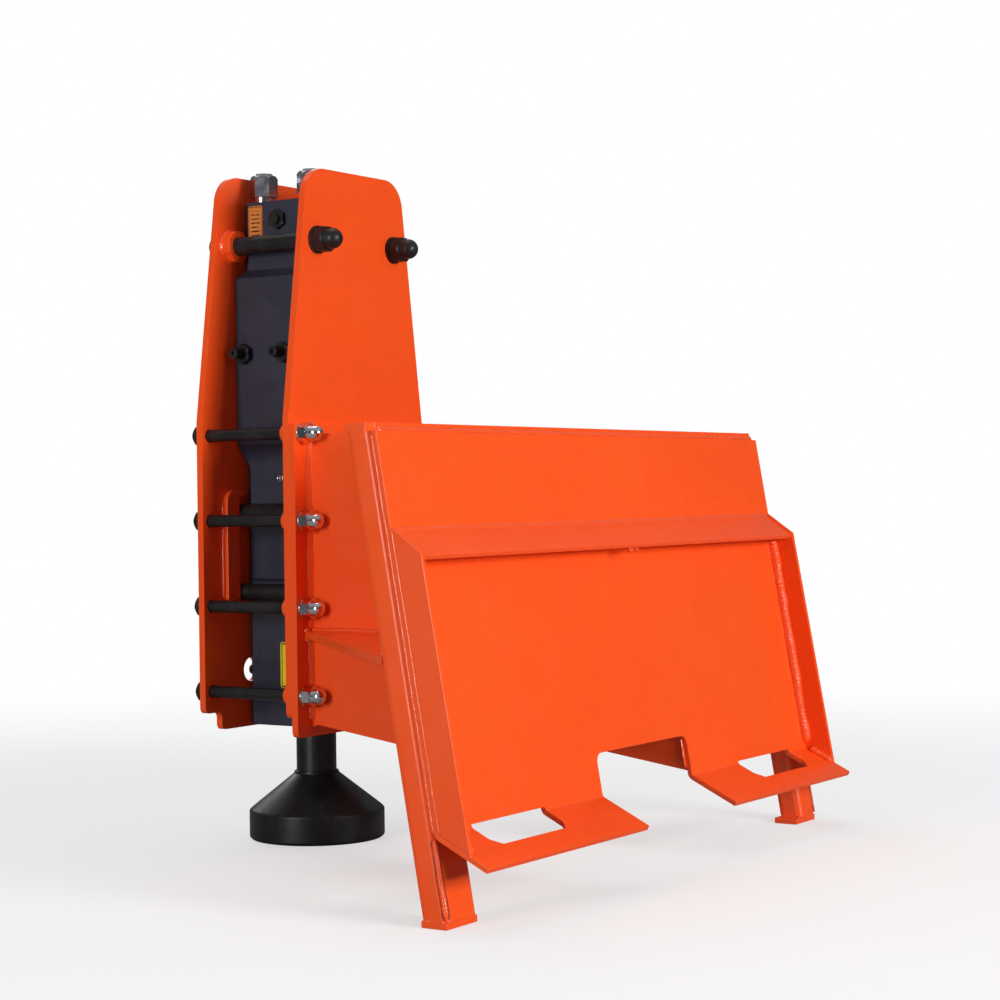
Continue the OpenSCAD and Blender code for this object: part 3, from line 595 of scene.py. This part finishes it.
def brace_welds():
    beads = []
    for side in SIDES:
        web = side * WEB_HIGH.x
        out = X * side
        leg_in = LEG_IN[side]
        leg_out = side * (PLATE_X - 6)
        for z, up, seed in ((BRACE_HIGH.z, 1, 101), (BRACE_LOW.z, -1, 111)):
            plate = on_plate(0, PLATE_T, plate_rise(z, PLATE_T))
            heel = on_plate(0, PLATE_T + LEG_D, plate_rise(z, PLATE_T + LEG_D))
            rise = RISE * up
            corner = Vector((web, FLANGE_LOW.y, z))
            lines = (
                (corner - Y * 2, Vector((web, plate.y + 2, z)), out, Z * up, 6.0),
                (Vector((web + side * 6, plate.y, z)), Vector((leg_in, plate.y, z)), Y, rise, 6.0),
                (Vector((leg_in, plate.y + 4, z)), Vector((leg_in, heel.y - 3, z)), -out, Z * up, 5.5),
                (Vector((leg_in + side * 3, heel.y, z)), Vector((leg_out, heel.y, z)), Y, rise, 5.5),
                (corner + out * 2, corner + out * 17, -Y, Z * up, 7.0),
            )
            for k, (start, end, u, v, leg) in enumerate(lines):
                beads.append(bead(straight(start, end), u, v, leg, seed + 3 * k + side))
    return beads


def foot_welds():
    beads = []
    z = FOOT_HIGH.z
    heel_y = on_plate(0, PLATE_T + LEG_D, plate_rise(z, PLATE_T + LEG_D)).y
    toe_y = on_plate(0, PLATE_T, plate_rise(z, PLATE_T)).y
    for side in SIDES:
        inner, outer = LEG_IN[side], side * PLATE_X
        for x, out in ((inner, X * -side), (outer, X * side)):
            edge = x - out.x * 0.8
            line = straight(Vector((edge, toe_y + 5, z)), Vector((edge, heel_y - 5, z)))
            beads.append(bead(line, Z, -Z, 3.4, 141 + side, 0.32, 0.08, 4.0, out))
        low, high = sorted((inner, outer))
        for y, out in ((FOOT_HIGH.y, Y), (FOOT_LOW.y, -Y)):
            line = straight(Vector((low + 7, y - out.y, z)), Vector((high - 7, y - out.y, z)))
            beads.append(bead(line, Z, -Z, 3.2, 151 + side, 0.35, 0.08, 4.0, out))
    return beads


def boss_welds():
    """Beads round the outer edges of the eight-sided bosses."""
    low, high = box_mm("top_bosses")
    size = high.z - low.z
    centre_z = (low.z + high.z) / 2
    beads = []
    for side in SIDES:
        centre = Vector((side * (high.x - size / 2), FAR_FACE, centre_z))
        for k in range(-2, 3):
            angle = k * math.pi / 4
            out = X * side * math.cos(angle) + Z * math.sin(angle)
            along = -X * side * math.sin(angle) + Z * math.cos(angle)
            half = size / 2 * math.tan(math.pi / 8) + 1
            middle = centre + out * size / 2
            line = straight(middle - along * half, middle + along * half)
            beads.append(bead(line, out, -Y, 4.0, 161 + k + side))
    return beads


def bracket_welds():
    beads = []
    for node, face, away in (("key_brackets_near", NEAR_FACE, Y), ("key_brackets_far", FAR_FACE, -Y)):
        low, high = box_mm(node)
        for side in SIDES:
            x = side * high.x
            line = straight(Vector((x, face, low.z + 2)), Vector((x, face, high.z - 22)))
            beads.append(bead(line, X * side, away, 4.2, 181 + side))
    return beads


def circle(centre, radius, along):
    """A circle in the plane of along and Z, as a line for bead, and its outward direction."""

    def out(s):
        return along * math.cos(s / radius) + Z * math.sin(s / radius)

    return (2 * math.pi * radius, lambda s: centre + out(s) * radius), out


def collar_welds():
    """A ring of weld round every collar on the near side plate."""
    low, high = box_mm("rod_collars")
    rise = (high.z - low.z - 2 * COLLAR_R) / (COLLAR_ROWS - 1)
    beads = []
    for side in SIDES:
        for k in range(COLLAR_ROWS):
            centre = Vector((side * (high.x - COLLAR_R), NEAR_FACE, low.z + COLLAR_R + k * rise))
            line, out = circle(centre, COLLAR_R, X)
            beads.append(bead(line, out, lambda s: Y, 3.0, 201 + 5 * k + side, pitch=3.6))
    return beads


def leg_welds():
    """A rough seam down the outer front corner of each leg, below the plate."""
    beads = []
    low = plate_rise(FOOT_HIGH.z + 3, PLATE_T)
    for side in SIDES:
        x = side * PLATE_X
        line = straight(on_plate(x, PLATE_T, -4), on_plate(x, PLATE_T, low))
        out = (X * side - BACK).normalized()
        beads.append(bead(line, X * -side, BACK, 8.0, 221 + side, 0.16, 0.13, 5.5, out))
    return beads


WELD_GROUPS = {
    "weld_gussets": gusset_welds,
    "weld_hook_lip": lip_welds,
    "weld_cover": cover_welds,
    "weld_adapter": web_welds,
    "weld_braces": brace_welds,
    "weld_feet": foot_welds,
    "weld_legs": leg_welds,
    "weld_bosses": boss_welds,
    "weld_brackets": bracket_welds,
    "weld_collars": collar_welds,
}
for group_name, make in WELD_GROUPS.items():
    add_piece(group_name, make(), WELD_PAINT)


def plug_seams():
    """A thin dark ring of sealant round each plug in the front head."""
    low, high = box_mm("pin_plugs")
    radius = (high.z - low.z) / 2
    seams = []
    for side in SIDES:
        for row in SIDES:
            centre = Vector((side * high.x, row * (high.y - radius), high.z - radius))
            line, out = circle(centre, radius, Y)
            face = lambda s, x=X * side: x
            seams.append(bead(line, out, face, 1.2, 241 + side, bulge=0.2, ripple=0.0, pitch=6.0))
    return seams


add_piece("plug_seams", plug_seams(), RUBBER)

# ---------------------------------------------------------------- labels


def label(node, look):
    """A thin label with rounded corners, in the CAD label's place."""
    low, high = box_mm(node)
    width, height, radius = high.y - low.y, high.z - low.z, 4.0
    outline = []
    for side_y, side_z, start in ((1, 1, 0), (-1, 1, 90), (-1, -1, 180), (1, -1, 270)):
        for k in range(7):
            angle = math.radians(start + 15 * k)
            outline.append((
                side_y * (width / 2 - radius) + radius * math.cos(angle),
                side_z * (height / 2 - radius) + radius * math.sin(angle),
            ))
    count = len(outline)
    centre = (low + high) / 2
    verts, faces = [], []
    for x in (high.x, low.x + 0.1):
        verts += [Vector((x, centre.y + y, centre.z + z)) * MM for y, z in outline]
    faces.append(tuple(range(count)))
    faces.append(tuple(count + k for k in reversed(range(count))))
    for k in range(count):
        n = (k + 1) % count
        faces.append((k, n, n + count, k + count))
    piece = add_piece(node + "_sheet", [(verts, faces)], look, smooth=False)
    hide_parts(node)


label("front_label", YELLOW_FILM)
label("head_label", ORANGE_FILM)

# ---------------------------------------------------------------- floor and light

FLOOR_R = 60.0
FADE_FROM, FADE_TO = 0.9, 3.2
NEAR_GLOW = 0.55
BACKGROUND = 1.0
FLOOR_RING = 96


def make_floor():
    """A pale floor that fades into the plain background and lights the part little from below."""
    s = Shader("floor_paint")
    seen = s.add("ShaderNodeLightPath", {}, "Is Camera Ray")
    reach = s.add("ShaderNodeVectorMath", {0: s.place}, "Value", operation="LENGTH")
    fade = s.add("ShaderNodeMapRange", {
        "Value": reach, "From Min": FADE_FROM, "From Max": FADE_TO, "To Min": NEAR_GLOW,
    }, interpolation_type="SMOOTHSTEP")
    pale = s.mix(s.ramp(s.noise(1.4, 4.0), 0.3, 0.7), rgba(0.90, 0.90, 0.90), rgba(0.93, 0.93, 0.93))
    colour = s.mix(seen, rgba(0.30, 0.30, 0.30), s.mix(fade, pale, rgba(0, 0, 0)))
    glow = s.math("MULTIPLY", s.math("MULTIPLY", seen, fade), BACKGROUND)
    look = s.set(
        Base_Color=colour, Roughness=0.8, Normal=s.bump(s.noise(160.0), 0.0002, 0.3),
        Specular_IOR_Level=0.0, Emission_Color=rgba(1, 1, 1), Emission_Strength=glow,
    )
    turns = [2 * math.pi * k / FLOOR_RING for k in range(FLOOR_RING)]
    rim = [(FLOOR_R * math.cos(turn), FLOOR_R * math.sin(turn), 0) for turn in turns]
    mesh = bpy.data.meshes.new("floor")
    mesh.from_pydata(rim, [], [tuple(range(FLOOR_RING))])
    mesh.materials.append(look)
    floor = bpy.data.objects.new("floor", mesh)
    bpy.context.scene.collection.objects.link(floor)


def make_world():
    """A pale room: bright overhead, dimmer towards the horizon, as a studio of soft boxes is."""
    world = bpy.data.worlds.new("studio")
    bpy.context.scene.world = world
    world.use_nodes = True
    tree = world.node_tree
    ground = tree.nodes["Background"]
    view = tree.nodes.new("ShaderNodeTexCoord")
    axes = tree.nodes.new("ShaderNodeSeparateXYZ")
    tree.links.new(view.outputs["Generated"], axes.inputs[0])
    ramp = tree.nodes.new("ShaderNodeValToRGB")
    tree.links.new(axes.outputs["Z"], ramp.inputs[0])
    stops = ramp.color_ramp.elements
    stops[0].position, stops[0].color = 0.0, (0.16, 0.16, 0.17, 1)
    stops[1].position, stops[1].color = 0.75, (0.95, 0.96, 1.0, 1)
    middle = stops.new(0.22)
    middle.color = (0.30, 0.30, 0.31, 1)
    tree.links.new(ramp.outputs["Color"], ground.inputs["Color"])
    ground.inputs["Strength"].default_value = 0.32
    plain = tree.nodes.new("ShaderNodeBackground")
    plain.inputs["Color"].default_value = rgba(1, 1, 1)
    plain.inputs["Strength"].default_value = BACKGROUND
    rays = tree.nodes.new("ShaderNodeLightPath")
    either = tree.nodes.new("ShaderNodeMixShader")
    tree.links.new(rays.outputs["Is Camera Ray"], either.inputs[0])
    tree.links.new(ground.outputs[0], either.inputs[1])
    tree.links.new(plain.outputs[0], either.inputs[2])
    tree.links.new(either.outputs[0], tree.nodes["World Output"].inputs[0])


def make_lights():
    aim = (0.0, -0.4, 0.5)
    area_light("key", (-0.4, -5.4, 1.7), aim, (1.4, 1.4), 178)
    area_light("glint", (-1.3, -4.4, 0.9), aim, (0.35, 0.35), 32)
    area_light("side", (-5.0, 0.3, 1.0), aim, (1.2, 2.4), 125)
    area_light("top", (0.2, 0.6, 3.8), aim, (2.2, 2.2), 30)
    area_light("back", (2.2, 3.0, 2.4), aim, (2.4, 1.8), 35)


make_camera()
make_floor()
make_world()
make_lights()
bpy.context.scene.view_settings.view_transform = "Standard"
